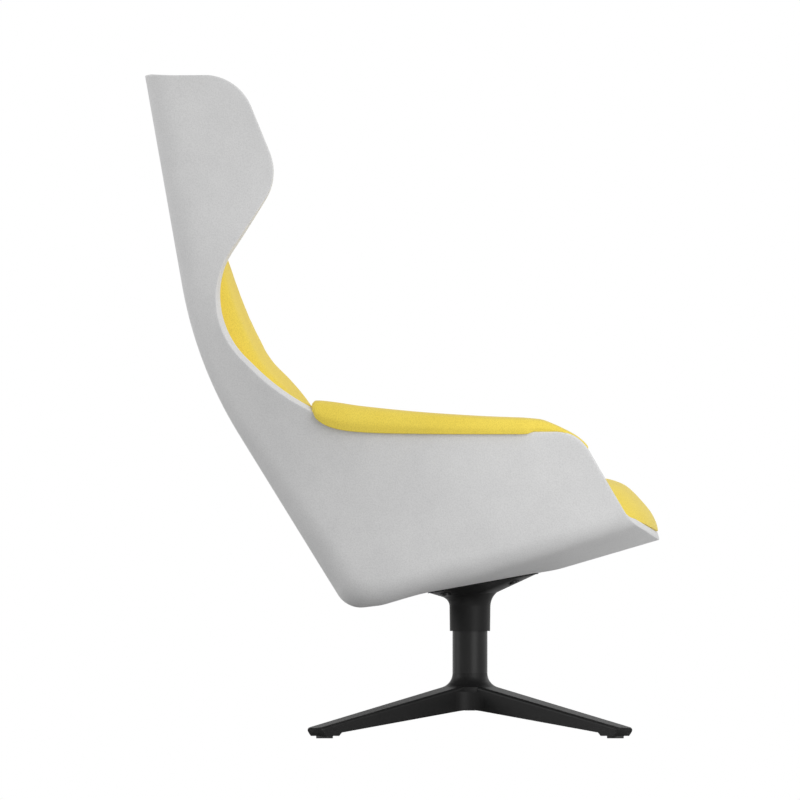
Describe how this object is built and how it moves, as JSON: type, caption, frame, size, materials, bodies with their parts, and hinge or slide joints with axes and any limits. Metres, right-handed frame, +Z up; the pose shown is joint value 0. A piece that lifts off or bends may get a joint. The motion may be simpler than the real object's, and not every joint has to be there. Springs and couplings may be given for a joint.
{
  "type": "swivel lounge chair",
  "caption": "High-backed wing lounge chair: padded one-piece shell with arm pads and a seat cushion, turning on a column with a star base.",
  "frame": {"origin": "on the floor, in the middle of the chair's width and depth; the swivel axis stands 113 mm in front of it", "axes": "+Z up, -Y to the front of the chair, +X to the sitter's left"},
  "size_m": [0.7354, 0.8519, 1.1],
  "materials": {
    "cast_black": "satin black powder coat",
    "tube_black": "satin black",
    "steel": "zinc plated",
    "black_steel": "black oxide",
    "glide_plastic": "matt",
    "bearing_plastic": "matt",
    "plywood": "raw plywood",
    "shell_cloth": "light grey felted cloth",
    "yellow_cloth": "yellow woven cloth"
  },
  "bodies": {
    "base": {"star_base": "cast_black", "foot_glides": "glide_plastic", "column_tube": "tube_black", "column_plug": "steel", "column_bolt": "steel", "column_washer": "steel", "lower_bush": "bearing_plastic", "upper_bush": "bearing_plastic", "thrust_washer": "bearing_plastic"},
    "seat": {"swivel_mount": "cast_black", "swivel_spindle": "steel", "spindle_screw": "steel", "spindle_circlip": "steel", "retaining_washer": "steel", "mount_screws": "black_steel", "mount_washers": "black_steel", "tee_nuts": "steel", "outer_shell": "shell_cloth", "seat_board": "plywood", "seat_cushion": "yellow_cloth", "back_cushion": "yellow_cloth", "arm_screws": "steel", "wing_lining_left": "yellow_cloth", "wing_lining_right": "yellow_cloth", "arm_lining_left": "yellow_cloth", "arm_lining_right": "yellow_cloth", "arm_pad_left": "yellow_cloth", "arm_pad_right": "yellow_cloth", "arm_core_left": "plywood", "arm_core_right": "plywood"}
  },
  "joints": [
    {"name": "swivel", "type": "hinge", "parent": "base", "child": "seat", "pos_m": [0, -0.113, 0.2], "axis": [0, 0, 1], "continuous": true}
  ]
}
